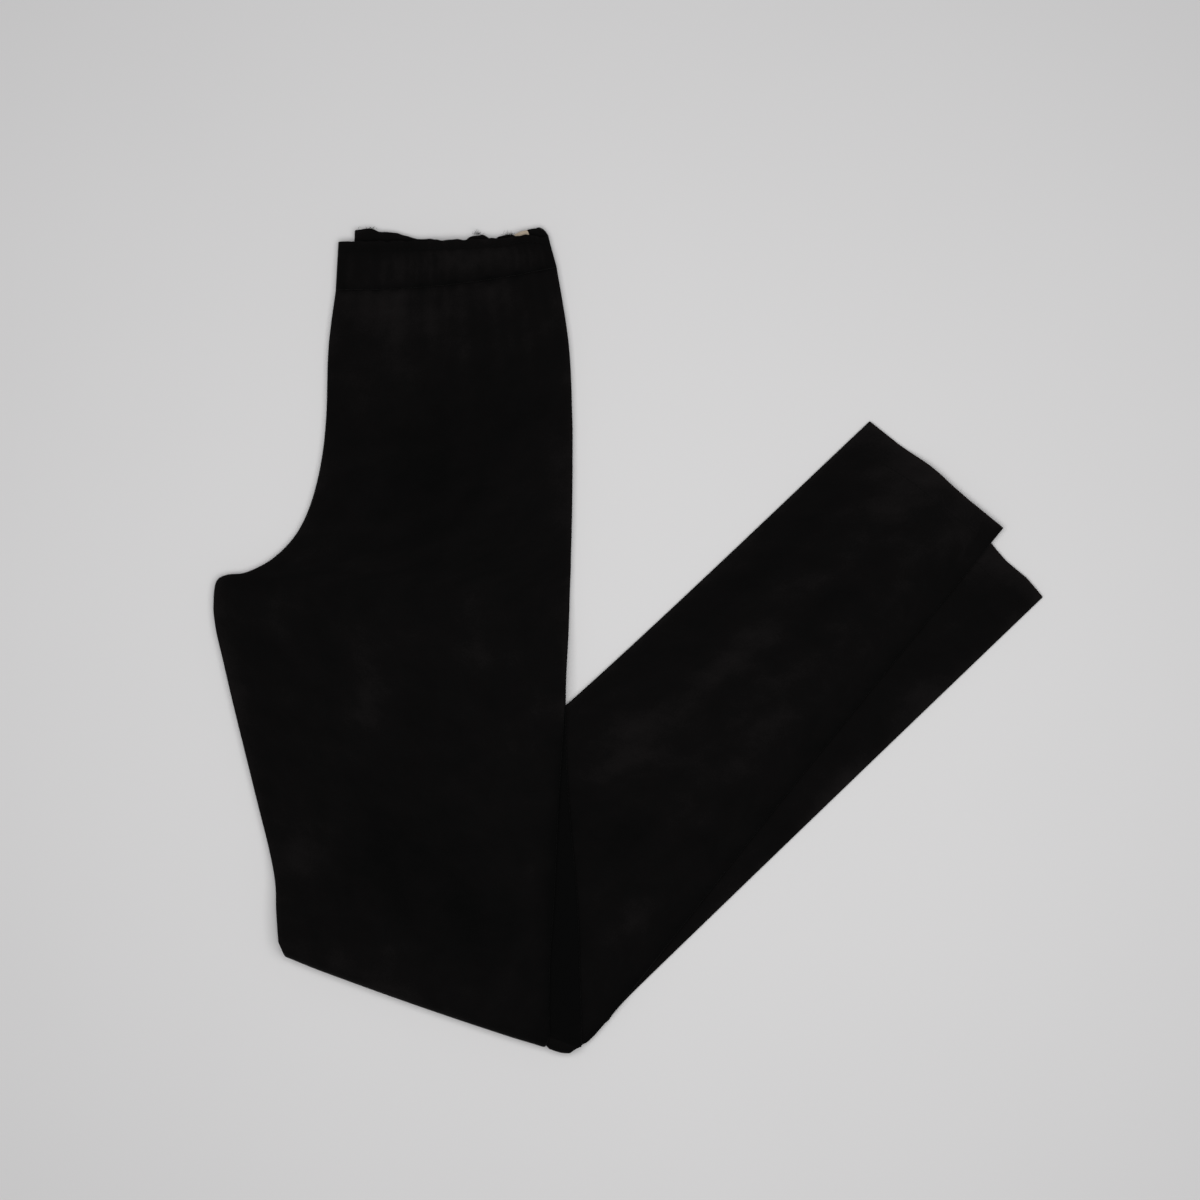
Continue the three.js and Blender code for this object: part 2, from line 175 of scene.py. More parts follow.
def as_rows(values, fold, thigh, shin):
    """A table's columns by name, each a column vector, with how far each row has turned round the knee
    (0 on the thigh, pi on the shin) and whether it is on the thigh or the shin."""
    rows = {name: values[:, k : k + 1] for k, name in enumerate(COLUMNS)}
    ones = np.ones((len(values), 1))
    return {**rows, "fold": fold * ones, "thigh": thigh * ones, "shin": shin * ones}


def leg_rows(under):
    """All the rows of one leg: down the thigh, round the knee and along the shin. The under leg's side
    seam drifts out past the top leg's on the way down to the knee, and the seams draw the ends of the
    knee fold in, which rounds the garment's corners."""
    thigh = curve_through(THIGH, ROW_SPACING)
    if under:
        across = thigh[:, 2:4] - thigh[:, 0:2]
        drift = DRIFT_BY * smooth((DRIFT_FROM - thigh[:, 3:4]) / (DRIFT_FROM - DRIFT_TO))
        thigh[:, 2:4] += drift * across / np.linalg.norm(across, axis=1, keepdims=True)
    turns = np.linspace(0, np.pi, FOLD_ROWS + 1)[1:-1, None]
    knee = np.repeat(thigh[-1:], len(turns), axis=0)
    knee[:, 0:2] += CORNER_INNER * np.sin(turns) * fold_along
    knee[:, 2:4] -= (CORNER_UNDER if under else 0.0) * np.sin(turns) * fold_along
    shin = curve_through(UNDER_SHIN if under else TOP_SHIN, ROW_SPACING)
    parts = [as_rows(thigh, 0.0, 1.0, 0.0), as_rows(knee, turns, 0.0, 0.0), as_rows(shin, np.pi, 0.0, 1.0)]
    rows = {name: np.concatenate([part[name] for part in parts]) for name in parts[0]}
    middle = np.column_stack((rows["ix"] + rows["ox"], rows["iy"] + rows["oy"])) / 2
    rows["to_hem"] = np.linalg.norm(middle - middle[-1], axis=1, keepdims=True)
    way = (middle[-1] - middle[-2]) / np.linalg.norm(middle[-1] - middle[-2])
    rows.update(under=under, way_x=way[0], way_y=way[1])
    return rows


def row_length(rows):
    """The width of each row, from its inner to its outer end."""
    return np.hypot(rows["ox"] - rows["ix"], rows["oy"] - rows["iy"])


# %% [markdown]
# ## Where a point of the stack lies
# Cloth that is folded keeps its own length, and only its place changes. So each point is given by its
# row, its distance s along that row and its height in the stack, and one function puts it in space:
# on the thigh it is that height above whatever the thighs lie on, round the knee the height becomes
# a radius, and on the shin the stack is upside down.

# %% From the stack to space
FOLD_AXIS_Z = STACK + FOLD_GAP / 2


def direction(table, last):
    """The direction of a shin's inner edge, from the knee to one of its rows."""
    step = table[last, 0:2] - table[0, 0:2]
    return step / np.linalg.norm(step)


UNDER_SHIN_WAY = direction(UNDER_SHIN, 2)
TOP_SHIN_WAY = direction(TOP_SHIN, 4)


def outside(x, y, table, way):
    """Distance from the line of a shin's inner edge, counted away from the shin."""
    return (y - table[0, 1]) * way[0] - (x - table[0, 0]) * way[1]


def climb(x, y):
    """Height of what the thighs lie on: the surface, then a soft ramp up onto the shins."""
    away = outside(x, y, UNDER_SHIN, UNDER_SHIN_WAY)
    return RAISED * smooth((CLIMB_WIDTH + CLIMB_CLEAR - away) / CLIMB_WIDTH)


def settle(x, y):
    """How far the under leg's shin comes down where it runs off the edge of the other shin."""
    return SETTLE_BY * smooth((outside(x, y, TOP_SHIN, TOP_SHIN_WAY) - SETTLE_CLEAR) / SETTLE_WIDTH)


def slack(x, y, under, middle):
    """How far the knee fold stands out past an even bend. It bows out between its ends; near the top
    leg's side seam the outer layers press the inner ones closer; and past that seam the under leg
    swells out and then rounds off towards its own seam."""
    past = (x - knee_end[0]) * fold_along[0] + (y - knee_end[1]) * fold_along[1]
    share = np.clip(1 + past / np.linalg.norm(knee_end - knee_start), 0, 1)
    bow = FOLD_BOW * np.sin(np.pi * share) ** 0.8
    squeeze = SQUEEZE * (1 - middle / STACK) * smooth(1 + past / SQUEEZE_OVER)
    swell = SLACK_BY * smooth((past - SLACK_CLEAR) / SLACK_OVER) if under else 0.0
    return bow + (squeeze + swell) * (1 - SLACK_LOST * smooth((past - SLACK_FADE_FROM) / SLACK_FADE))


def plan(rows, s):
    """The place on the surface of the point s millimetres from a row's inner end."""
    share = s / row_length(rows)
    hang = rows["sag"] * 4 * share * (1 - share)
    return mix(rows["ix"], rows["ox"], share), mix(rows["iy"], rows["oy"], share) - hang


# %% [markdown]
# ## Creases
# Suede is soft and heavy, so it makes few, low and rounded creases. Each is placed one by one: it runs
# from one point to another, bows to one side, is steeper on one flank, and dies away at both ends.
# The relief lifts the upper layers most and the lowest not at all, so the layers never cross and
# the underside stays flat where it rests.

# %% Tables of creases, and the relief that they add up to
# from x, from y, to x, to y, bow, width, height
THIGH_CREASES = [
    (-196, 212, -120, 196, 5, 7.0, 0.9),
    (-190, 188, -128, 160, -4, 9.0, -0.7),
    (-212, 96, -150, 128, 6, 7.0, 1.0),
    (-221, 78, -136, 84, -7, 6.0, 1.1),
    (-236, 56, -168, 42, 5, 6.5, 0.9),
    (-268, 38, -196, 20, -5, 6.0, 1.0),
    (-274, 20, -214, -18, 6, 6.5, 0.8),
    (-264, 2, -226, -62, -7, 7.0, -0.7),
    (-205, 106, -176, 168, -5, 8.0, 0.7),
    (-46, 128, -104, 84, 6, 10.0, 0.8),
    (-42, 60, -112, 34, -6, 9.0, 0.7),
    (-118, 150, -122, 20, 7, 15.0, 0.8),
    (-150, 60, -168, -70, -9, 14.0, 0.7),
    (-88, 40, -104, -80, 8, 12.0, -0.6),
    (-44, -30, -128, -76, 6, 10.0, 0.9),
    (-46, -62, -150, -118, -7, 9.0, 0.8),
    (-244, -100, -180, -142, 6, 9.0, 0.8),
    (-238, -140, -160, -160, -6, 8.0, 0.7),
    (-234, -186, -150, -190, 6, 7.0, 0.9),
    (-190, -205, -110, -196, -5, 7.5, 0.8),
    (-150, -222, -70, -226, 5, 6.5, 0.9),
    (-56, -120, -92, -196, 6, 11.0, 0.7),
    (-54, -200, -96, -238, -4, 8.0, 0.8),
    (-120, -130, -128, -215, 7, 14.0, -0.6),
    (-208, -60, -196, -128, 6, 12.0, 0.7),
]
SHIN_CREASES = [
    (-20, -66, 96, 40, 6, 9.0, 0.9),
    (-6, -86, 60, -36, -5, 8.0, 0.7),
    (50, -30, 184, 98, -7, 11.0, 0.8),
    (-26, -120, 92, -20, 6, 12.0, -0.5),
    (20, -110, 150, 8, 7, 9.0, 0.8),
    (110, -26, 222, 82, -6, 10.0, 0.8),
    (-20, -168, 86, -76, -6, 9.0, 0.7),
    (76, -96, 188, 16, 5, 9.0, 0.7),
    (-28, -214, 40, -168, 4, 8.0, 0.8),
    (-30, -96, 26, -134, -5, 8.0, 0.6),
    (36, -60, 84, -98, 4, 8.0, 0.5),
    (140, 60, 196, 8, -5, 9.0, 0.5),
    (-34, -180, -8, -206, 3, 7.0, 0.7),
    (120, -60, 232, 34, 3, 8.0, 0.5),
    (176, 118, 214, 82, 3, 7.0, 0.5),
]
# Gathers that the elastic draws up below the waistband: where they are along the row, how wide and
# high they are, and how far down the hip they reach.
GATHERS = [
    (0.06, 4.0, 0.9, 34), (0.14, 5.0, 1.2, 60), (0.215, 4.0, 0.9, 42), (0.29, 5.5, 1.3, 78),
    (0.365, 4.0, 1.0, 48), (0.43, 4.5, 1.4, 96), (0.50, 4.0, 1.2, 70), (0.565, 5.0, 1.5, 118),
    (0.635, 3.8, 1.1, 62), (0.70, 4.4, 1.5, 104), (0.765, 4.0, 1.3, 80), (0.83, 4.2, 1.3, 92),
    (0.895, 3.8, 1.0, 56), (0.95, 3.4, 0.8, 36),
]
BASE_LIFT = 0.9
SWELL_MARGIN, CREASE_MARGIN = 24.0, 9.0  # how far in from an edge the swell and the creases begin


def creases(x, y, table):
    """The sum of soft creases: across, each is a bell curve with one flank twice as steep as the other,
    and along its length it rises and falls like half a sine wave."""
    total = np.zeros_like(x)
    for x0, y0, x1, y1, bow, wide, high in table:
        length = np.hypot(x1 - x0, y1 - y0)
        t = ((x - x0) * (x1 - x0) + (y - y0) * (y1 - y0)) / length**2
        across = ((y - y0) * (x1 - x0) - (x - x0) * (y1 - y0)) / length - 4 * bow * t * (1 - t)
        width = np.where(across > 0, wide, 0.55 * wide)
        total += high * np.exp(-((across / width) ** 2)) * np.sin(np.pi * np.clip(t, 0, 1)) ** 0.8
    return total


# Where the waist seam is pulled in, as shares of its width, and how deep in shade each pucker is.
PUCKERS = [
    (0.045, 0.5), (0.19, 0.6), (0.272, 0.5), (0.386, 0.9),
    (0.53, 0.8), (0.698, 1.2), (0.82, 1.2), (0.93, 0.6),
]
PUCKER_HALF_WIDTH, PUCKER_REACH = 3.4, 3.5


def puckers(share, length):
    """Shade of the puckers along the seam, each a short bell, over a faint line between them."""
    spots = [deep * np.exp(-(((share - at) * length / PUCKER_HALF_WIDTH) ** 2)) for at, deep in PUCKERS]
    return 0.25 + np.sum(spots, axis=0)


def gathers(share, below, length):
    """Gathers by their share of the row's length, fading with the distance below the band's seam."""
    total = np.zeros_like(share * below)
    for at, wide, high, reach in GATHERS:
        total += high * np.exp(-(((share - at) * length / wide) ** 2)) * (1 - smooth(below / reach))
    return total


def above_zero(height):
    """The height itself where it is well above zero, and a soft floor at zero below that."""
    return 0.5 * (height + np.sqrt(height**2 + 0.04))


def stack_share(height):
    """How much of the relief a layer takes: none at the bottom of the stack, all at the top."""
    return np.clip(height / TOP_MIDDLE, 0, 1) ** 1.3


def thigh_relief(rows, s, x, y):
    """Relief of the thighs: creases on a low swell that dies away towards both edges."""
    length = row_length(rows)
    margin = smooth(np.minimum(s, length - s) / SWELL_MARGIN)
    below = np.maximum(THIGH[0, 3] - rows["oy"], 0)
    folds = creases(x, y, THIGH_CREASES) * smooth(np.minimum(s, length - s) / CREASE_MARGIN)
    return above_zero(BASE_LIFT * margin + folds) + gathers(s / length, below, length) * rows["thigh"]


def shin_relief(rows, s, x, y):
    """Relief of the shins, which is pressed flat where the thighs lie on them."""
    length = row_length(rows)
    edge = np.minimum(s, length - s)
    free = smooth((x - knee_end[0]) / 30) * smooth(-outside_fold(x, y) / 26)
    folds = creases(x, y, SHIN_CREASES) * smooth(edge / CREASE_MARGIN)
    return above_zero(0.8 * BASE_LIFT * smooth(edge / SWELL_MARGIN) + folds) * free


def outside_fold(x, y):
    """Distance past the knee fold's line, counted away from the cloth."""
    return (x - knee_start[0]) * fold_out[0] + (y - knee_start[1]) * fold_out[1]


# share of the hem's width, how far the cut edge strays outwards there
UNDER_HEM = np.array([
    (0.0, 0.0), (0.22, 0.1), (0.35, 1.1), (0.44, 1.7), (0.52, 1.5), (0.62, 0.6), (0.74, 0.1), (1.0, 0.0),
])
TOP_HEM = np.array([
    (0.0, 0.3), (0.42, 0.0), (0.5, -0.2), (0.61, -1.2), (0.7, -1.5), (0.78, -0.3), (0.85, 0.8), (0.93, 0.5),
    (1.0, 0.0),
])
HEM_WAVE_REACH = 60.0


def hem_wave(rows, s):
    """How far the cloth strays along the leg near its hem, fading on the way up the shin."""
    waves = UNDER_HEM if rows["under"] else TOP_HEM
    share = s / row_length(rows)
    return np.interp(share, waves[:, 0], waves[:, 1]) * smooth(1 - rows["to_hem"] / HEM_WAVE_REACH)


def place(rows, s, height, middle):
    """Points in space, in metres. height is where the point is in the stack and middle is where the
    middle of its wall is, which decides how much of the relief it takes."""
    x, y = plan(rows, s)
    stray = hem_wave(rows, s) * rows["shin"]
    x, y = x + stray * rows["way_x"], y + stray * rows["way_y"]
    turned = rows["fold"] / np.pi
    settled = settle(x, y) * rows["shin"] if rows["under"] else 0.0
    on_shin = np.maximum(STACK - middle - settled, 0)
    lift = (1 - turned) * thigh_relief(rows, s, x, y) * stack_share(middle)
    press = turned * shin_relief(rows, s, x, y) * stack_share(on_shin)
    reach = FOLD_GAP / 2 + height + lift - press
    reach = reach + slack(x, y, rows["under"], middle) * np.sin(rows["fold"])
    out = reach * np.sin(rows["fold"])
    z = FOLD_AXIS_Z + reach * np.cos(rows["fold"]) - (RAISED - climb(x, y)) * rows["thigh"] - settled
    return np.stack((x + fold_out[0] * out, y + fold_out[1] * out, z), axis=-1) * MM


# %% [markdown]
# ## Sections across the leg
# At a seam the cloth turns through a quarter circle towards the piece that it is sewn to, so each
# edge is round and the seam is a fine valley. A section runs from the inner edge, across the span,
# to the side seam, and holds the normal of the wall's upper face, along which the wall is thickened.

# %% Turned edges and whole sections
LEAST_TURN, WIDEST_EDGE = 0.02, 20.0


def turned_edge(end, inwards, turn, height):
    """An edge from the seam to where the cloth is flat: a quarter circle of radius turn, or a shallower
    arc where it turns by less than a seam needs. Returns s, height, tilt and uprightness."""
    by = np.maximum(LEAST_TURN, np.abs(turn))
    angle = np.pi / 2 * np.minimum(1, by / SEWN_TURN)
    radius = by / (1 - np.cos(angle))
    bend = angle * (1 - np.linspace(0, 1, EDGE_COLUMNS)[None, :])
    s = end + inwards * np.minimum(WIDEST_EDGE, radius * (np.sin(angle) - np.sin(bend)))
    up = height + np.sign(turn) * radius * (1 - np.cos(bend))
    return np.stack((s, up, np.sign(turn) * inwards * np.sin(bend), np.cos(bend)))


def flat_span(start, end, height, count):
    """The points between two edges, where the wall is level."""
    s = mix(start, end, np.linspace(0, 1, count + 1)[None, 1:-1])
    return np.stack((s, np.full_like(s, height), np.zeros_like(s), np.ones_like(s)))


def panel_section(rows, layer):
    """A leg panel's section on every row: s, height, tilt and uprightness, by row and column."""
    front = layer in (TOP_FRONT, UNDER_FRONT)
    to_front = 1 if layer >= TOP_BACK else -1
    height = SUEDE / 2 + layer * PITCH
    inner_turn = to_front * (-rows["turn"] if front else rows["back"])
    inset = 0 if front else rows["inset"]
    inner = turned_edge(SUEDE / 2 + inset, 1, inner_turn, height)
    side_turn = to_front * (-SEWN_TURN if front else SEWN_TURN) * np.ones_like(rows["ix"])
    side = turned_edge(row_length(rows) - SUEDE / 2, -1, side_turn, height)[:, :, ::-1]
    span = flat_span(inner[0][:, -1:], side[0][:, :1], height, SPAN_COLUMNS)
    return np.concatenate((inner, span, side), axis=2)


def wall_faces(rows, section, wall, put):
    """Both faces of a wall: each section point moved half the wall's thickness along its normal."""
    s, height, tilt, upright = section
    sides = (wall / 2, -wall / 2)
    return [put(rows, s + side * tilt, height + side * upright, height) for side in sides]


# %% [markdown]
# ## From grids to closed pieces
# A wall of cloth is two grids, its upper and its lower face. Joined round their rims they close into
# one skin. The rims at the hem and at the waist seam are cut edges, so they stay crisp, and the
# rest is shaded smooth. Each piece carries its own map, in metres along and across the cloth, so
# that the nap follows the suede round every fold.

# %% Closed wall meshes
def ring_faces(rows, columns):
    """Four-sided faces between the rings of a closed wall, and across its two ends."""
    i, j = np.meshgrid(np.arange(rows - 1), np.arange(columns), indexing="ij")
    a, b = i * columns + j, i * columns + (j + 1) % columns
    skin = np.stack((a, b, b + columns, a + columns), axis=-1).reshape(-1, 4)
    k = np.arange(columns // 2 - 1)
    first = np.stack((k, columns - 1 - k, columns - 2 - k, k + 1), axis=-1)
    last = (first + (rows - 1) * columns)[:, ::-1]
    return skin, np.concatenate((first, last))


def enclosed_volume(points, faces):
    """Six times the volume inside a closed skin, negative if its faces point inwards."""
    a, b, c, d = (points[faces[:, k]] for k in range(4))
    return (np.cross(a, b) * c).sum() + (np.cross(a, c) * d).sum()


def mesh_piece(name, points, faces, smooth_faces):
    """A new piece in the scene, whose first faces are shaded smooth."""
    mesh = bpy.data.meshes.new(name)
    mesh.from_pydata(points.tolist(), [], faces)
    mesh.polygons.foreach_set("use_smooth", np.arange(len(faces)) < smooth_faces)
    piece = bpy.data.objects.new(name, mesh)
    bpy.context.scene.collection.objects.link(piece)
    return piece


def closed_wall(name, upper, lower, cloth_map, attributes):
    """A closed mesh from the two faces of a wall, with its cloth map and its named point values."""
    ring = np.concatenate((upper, lower[:, ::-1]), axis=1)
    skin, ends = ring_faces(*ring.shape[:2])
    points = ring.reshape(-1, 3)
    faces = np.concatenate((skin, ends))
    if enclosed_volume(points, faces) < 0:
        faces = faces[:, ::-1]
    piece = mesh_piece(name, points, faces.tolist(), len(skin))
    mesh = piece.data
    spread = np.concatenate((cloth_map, cloth_map[:, ::-1]), axis=1).reshape(-1, 2)
    layer = mesh.uv_layers.new(name="cloth")
    layer.data.foreach_set("uv", spread[faces.reshape(-1)].astype(np.float32).ravel())
    for key, values in attributes.items():
        both = np.concatenate((values, values[:, ::-1]), axis=1).ravel()
        mesh.attributes.new(key, "FLOAT", "POINT").data.foreach_set("value", both.astype(np.float32))
    mesh.validate()
    print(name, len(faces), "faces")
    return piece


def lengths_along(points):
    """Running length of every column of a grid, in metres, for the cloth map."""
    steps = np.linalg.norm(np.diff(points, axis=0), axis=-1)
    return np.concatenate((np.zeros((1, points.shape[1])), np.cumsum(steps, axis=0)))


# %% [markdown]
# ## The nap's tone, with painted shade and painted highlight
# Suede shows where it was stroked: patches whose nap lies towards the light look a little greyer, and
# those brushed the other way look deeper black. The large patches are listed one by one; one narrow
# dark patch beside the top thigh's side seam is a painted shadow. The rims along seams, folds and hems
# are painted lighter, as wear and as a painted highlight. The crests of creases and gathers are painted
# lighter, and their hollows, the seam's puckers and the under leg's thigh are painted in shade.

# %% Patches of brushed nap, and one painted shadow
# x, y, half length, half width, angle in degrees, strength
NAP_AND_SHADOW_PATCHES = [
    (-168, 226, 24, 18, 0, 0.6), (-156, 186, 30, 34, 20, 0.5), (-105, 253, 46, 9, 3, 0.55),
    (90, -10, 190, 62, 43, 0.25), (-93, -8, 22, 24, 0, 0.65), (-176, -32, 14, 36, 5, 0.55),
    (-219, -138, 16, 26, 10, 0.65),
    (-262, -24, 9, 40, 14, 0.5), (-165, -224, 60, 11, -19, 0.6), (-47, 112, 8, 34, 0, 0.45),
    (4, -70, 26, 16, 43, 0.75), (60, -20, 50, 9, 43, 0.5), (183, 104, 34, 22, 43, 0.7),
    (141, -98, 24, 10, 46, 0.8), (199, -34, 26, 14, 45, 0.5), (9, -186, 22, 14, 40, 0.5),
    (232, 62, 18, 26, 43, 0.5), (90, -60, 34, 10, 43, 0.4),
    (-130, 104, 34, 44, 10, -0.7), (-150, -150, 34, 40, 0, -0.7), (-96, -190, 26, 34, 0, -0.6),
    (-206, 150, 20, 26, 0, -0.3), (60, 20, 70, 8, 43, -0.6), (-8, -130, 26, 20, 0, -0.6),
    # The narrow dark patch at -44, -170 is a painted shadow beside the top thigh's side seam.
    (130, 20, 40, 12, 43, -0.4), (-44, -170, 10, 60, 0, -0.8), (-90, 150, 20, 30, 0, -0.3),
]
# Below this height, and over this length, the top leg's side seam lies on the shin.
SEAM_ON_SHIN, SEAM_ON_SHIN_OVER = -70.0, 30.0
TONE_LOW, TONE_HIGH = -1.3, 1.2


def crease_painted_shade(ripple):
    """Painted light and shade of the relief: crests of creases are painted greyer and troughs deeper black.
    """
    return 0.6 * np.tanh(ripple)


def wear_and_rim_light(distance):
    """Wear and a painted rim highlight near an edge: a narrow bright line and a wide faint band inside it."""
    return 0.75 * np.exp(-distance / 2.5) + 0.25 * np.exp(-np.maximum(distance, 0) / 9)


def panel_tone(rows, s, x, y):
    """The nap's tone of a leg panel, with painted shade in it, and its rim of wear and painted highlight.
    The rim is lighter where its edges are the garment's outline and along the knee fold; a painted
    shadow runs along a side seam that lies on the other leg, and the under leg's thigh is painted in shade."""
    length = row_length(rows)
    share, below = s / length, np.maximum(THIGH[0, 3] - rows["oy"], 0)
    thigh, shin = 1 - rows["fold"] / np.pi, rows["fold"] / np.pi
    drawn = gathers(share, below, length) * rows["thigh"]
    folds = creases(x, y, THIGH_CREASES) * thigh + creases(x, y, SHIN_CREASES) * shin
    ripple = 0.4 * folds + 0.9 * drawn
    pinched = np.exp(-((below / PUCKER_REACH) ** 2)) * puckers(share, length) * rows["thigh"]
    # The under leg's thigh lies under the top leg, so it gets painted shade and a dimmer rim; a painted
    # shadow runs along the under shin's side seam, and along the top thigh's side seam where it lies on the
    # shin.
    if rows["under"]:
        outline, hidden = np.zeros_like(shin), rows["thigh"]
        seam_painted_shadow = np.exp(-(length - s) / 7) * shin
    else:
        at_outline = smooth((y - SEAM_ON_SHIN) / SEAM_ON_SHIN_OVER)
        outline, hidden = shin + thigh * at_outline, 0.0
        seam_painted_shadow = np.exp(-(length - s) / 5) * thigh * (1 - at_outline)
    # Painted shade in the tone: crests of creases and gathers lighter, their hollows and the seam's puckers
    # darker, the seam shadow and the under leg's thigh darker.
    tone = nap_and_shadow_tone(x, y) + crease_painted_shade(ripple) - 0.9 * pinched - 0.7 * seam_painted_shadow - 1.0 * hidden
    # Painted highlight along the knee fold, fading near the side seam.
    knee = np.exp(-((rows["fold"] - np.pi / 2) ** 2) / 0.6) * (1 - smooth((s - length + 30) / 20))
    rim = wear_and_rim_light(s) * (1 - 0.9 * hidden) + wear_and_rim_light(length - s) * outline + 0.7 * knee
    return np.clip(tone, TONE_LOW, TONE_HIGH), rim


def nap_and_shadow_tone(x, y):
    """The sum of tilted oval patches, each a bell curve, kept between -1 and 1."""
    total = np.zeros_like(x)
    for px, py, long, wide, angle, strength in NAP_AND_SHADOW_PATCHES:
        c, s = np.cos(np.radians(angle)), np.sin(np.radians(angle))
        u, v = ((x - px) * c + (y - py) * s) / long, ((y - py) * c - (x - px) * s) / wide
        total += strength * np.exp(-(u**2) - v**2)
    return np.clip(total, -1, 1)


# %% [markdown]
# ## Materials
# Suede is the split, buffed side of leather: a dense nap of short fibres with no gloss at all. What
# makes it look like suede is light catching the fibre tips at the rims, which is what the sheen
# lobe is for, and soft smudges where the nap was stroked. Black suede is dyed through, so it
# reflects less than one part in a hundred.

# %% Material helpers
def linear(code):
    """The linear colour of an sRGB hex code such as 0e0e0f."""
    srgb = np.array([int(code[k : k + 2], 16) / 255 for k in (0, 2, 4)])
    rgb = np.where(srgb <= 0.04045, srgb / 12.92, ((srgb + 0.055) / 1.055) ** 2.4)
    return (*rgb.tolist(), 1.0)


def new_material(name):
    """An empty node material: its tree, its shader and a function that adds a node."""
    material = bpy.data.materials.new(name)
    material.use_nodes = True
    tree = material.node_tree
    shader = tree.nodes["Principled BSDF"]

    def add(kind, settings=None, inputs=None):
        node = tree.nodes.new(kind)
        for key, value in (settings or {}).items():
            setattr(node, key, value)
        for key, value in (inputs or {}).items():
            if isinstance(value, bpy.types.NodeSocket):
                tree.links.new(value, node.inputs[key])
            else:
                node.inputs[key].default_value = value
        return node

    return material, tree, shader, add


# %% Black suede
NAP_GRAIN = 1.1 * MM  # the nap is finer than this, and this is the finest that a full view shows
SMUDGE = 26 * MM
# The ramp runs from deep black, for dark nap and painted shade, to a lighter grey, for edge wear and painted
# rim highlight.
SUEDE_DEEP, SUEDE_BLACK, SUEDE_WORN_AND_LIT = "050505", "0a0909", "161414"
CUT_EDGE = "1e1613"


def suede_material():
    """Black suede: no gloss, a fibre-tip sheen, smudges of stroked nap, a fine grain, and painted shade and
    rim highlight from the point values.
    """
    material, tree, shader, add = new_material("black_suede_nap_and_painted_shade")
    cloth = add("ShaderNodeUVMap", {"uv_map": "cloth"}).outputs["UV"]
    smudges = add(
        "ShaderNodeTexNoise", None,
        {"Vector": cloth, "Scale": 1 / SMUDGE, "Detail": 4.0, "Roughness": 0.62},
    )
    grain = add(
        "ShaderNodeTexNoise", None,
        {"Vector": cloth, "Scale": 1 / NAP_GRAIN, "Detail": 3.0, "Roughness": 0.65},
    )
    # The 'nap' value holds the nap's tone with painted shade in it, and 'rim' holds edge wear with a painted
    # highlight.
    tone = add("ShaderNodeAttribute", {"attribute_name": "nap"}).outputs["Fac"]
    rim = add("ShaderNodeAttribute", {"attribute_name": "rim"}).outputs["Fac"]
    raw = add("ShaderNodeAttribute", {"attribute_name": "raw"}).outputs["Fac"]
    level = -0.1
    smudge, speck = smudges.outputs["Fac"], grain.outputs["Fac"]
    for part, share in ((smudge, 0.9), (tone, 0.45), (rim, 0.42), (speck, 0.5)):
        level = add("ShaderNodeMath", {"operation": "MULTIPLY_ADD"}, {0: part, 1: share, 2: level}).outputs[0]
    shade = add("ShaderNodeMapRange", None, {"Value": level, "From Min": 0.2, "From Max": 1.3})
    ramp = add("ShaderNodeValToRGB", None, {"Fac": shade.outputs["Result"]})
    ramp.color_ramp.elements[0].color = linear(SUEDE_DEEP)
    ramp.color_ramp.elements[1].color = linear(SUEDE_WORN_AND_LIT)
    ramp.color_ramp.elements.new(0.5).color = linear(SUEDE_BLACK)
    cut = add(
        "ShaderNodeMix", {"data_type": "RGBA"},
        {"Factor": raw, "A": ramp.outputs["Color"], "B": linear(CUT_EDGE)},
    )
    normal = add(
        "ShaderNodeBump", None, {"Height": speck, "Strength": 0.35, "Distance": 0.25 * MM}
    ).outputs["Normal"]
    soft = add(
        "ShaderNodeBump", None,
        {"Height": smudge, "Strength": 0.3, "Distance": 1.2 * MM, "Normal": normal},
    )
    tree.links.new(cut.outputs["Result"], shader.inputs["Base Color"])
    tree.links.new(soft.outputs["Normal"], shader.inputs["Normal"])
    shader.inputs["Roughness"].default_value = 0.95
    shader.inputs["IOR"].default_value = 1.45
    shader.inputs["Specular IOR Level"].default_value = 0.06
    shader.inputs["Sheen Weight"].default_value = 0.06
    shader.inputs["Sheen Roughness"].default_value = 0.35
    shader.inputs["Sheen Tint"].default_value = linear("b4b1b0")
    return material


SUEDE_NAP = suede_material()

# %% [markdown]
# ## Leg panels
# The four panels use one function, because they differ only in their layer of the stack and in
# which leg they belong to.

# %% Leg panels
RAW_EDGE = 1.2  # how far the cut edge's browner leather shows at a hem
grids = {}


def leg_panel(name, node, layer):
    """One cut leg panel as a closed wall of suede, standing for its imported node."""
    rows = leg_rows(under=layer < TOP_BACK)
    section = panel_section(rows, layer)
    upper, lower = wall_faces(rows, section, SUEDE, place)
    length = lengths_along(upper)
    cloth_map = np.stack((section[0] * MM + layer * 0.5, length), axis=-1)
    x, y = plan(rows, section[0])
    to_hem = (length[-1:] - length) / MM
    tone, rim = panel_tone(rows, section[0], x, y)
    # The hem's edge gets the lighter rim too: wear with a painted highlight.
    rim = np.clip(rim + np.exp(-to_hem / 6), 0, 1)
    values = {"nap": tone, "rim": rim, "raw": (to_hem < RAW_EDGE) * 0.6}
    piece = closed_wall(name, upper, lower, cloth_map, values)
    piece.data.materials.append(SUEDE_NAP)
    grids[name] = (upper, lower)
    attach(piece, "root")
    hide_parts(node)
    return piece


leg_panel("top_leg_front_panel", "leg_top_front", TOP_FRONT)
leg_panel("top_leg_back_panel", "leg_top_back", TOP_BACK)
leg_panel("under_leg_back_panel", "leg_under_back", UNDER_BACK)
leg_panel("under_leg_front_panel", "leg_under_front", UNDER_FRONT)

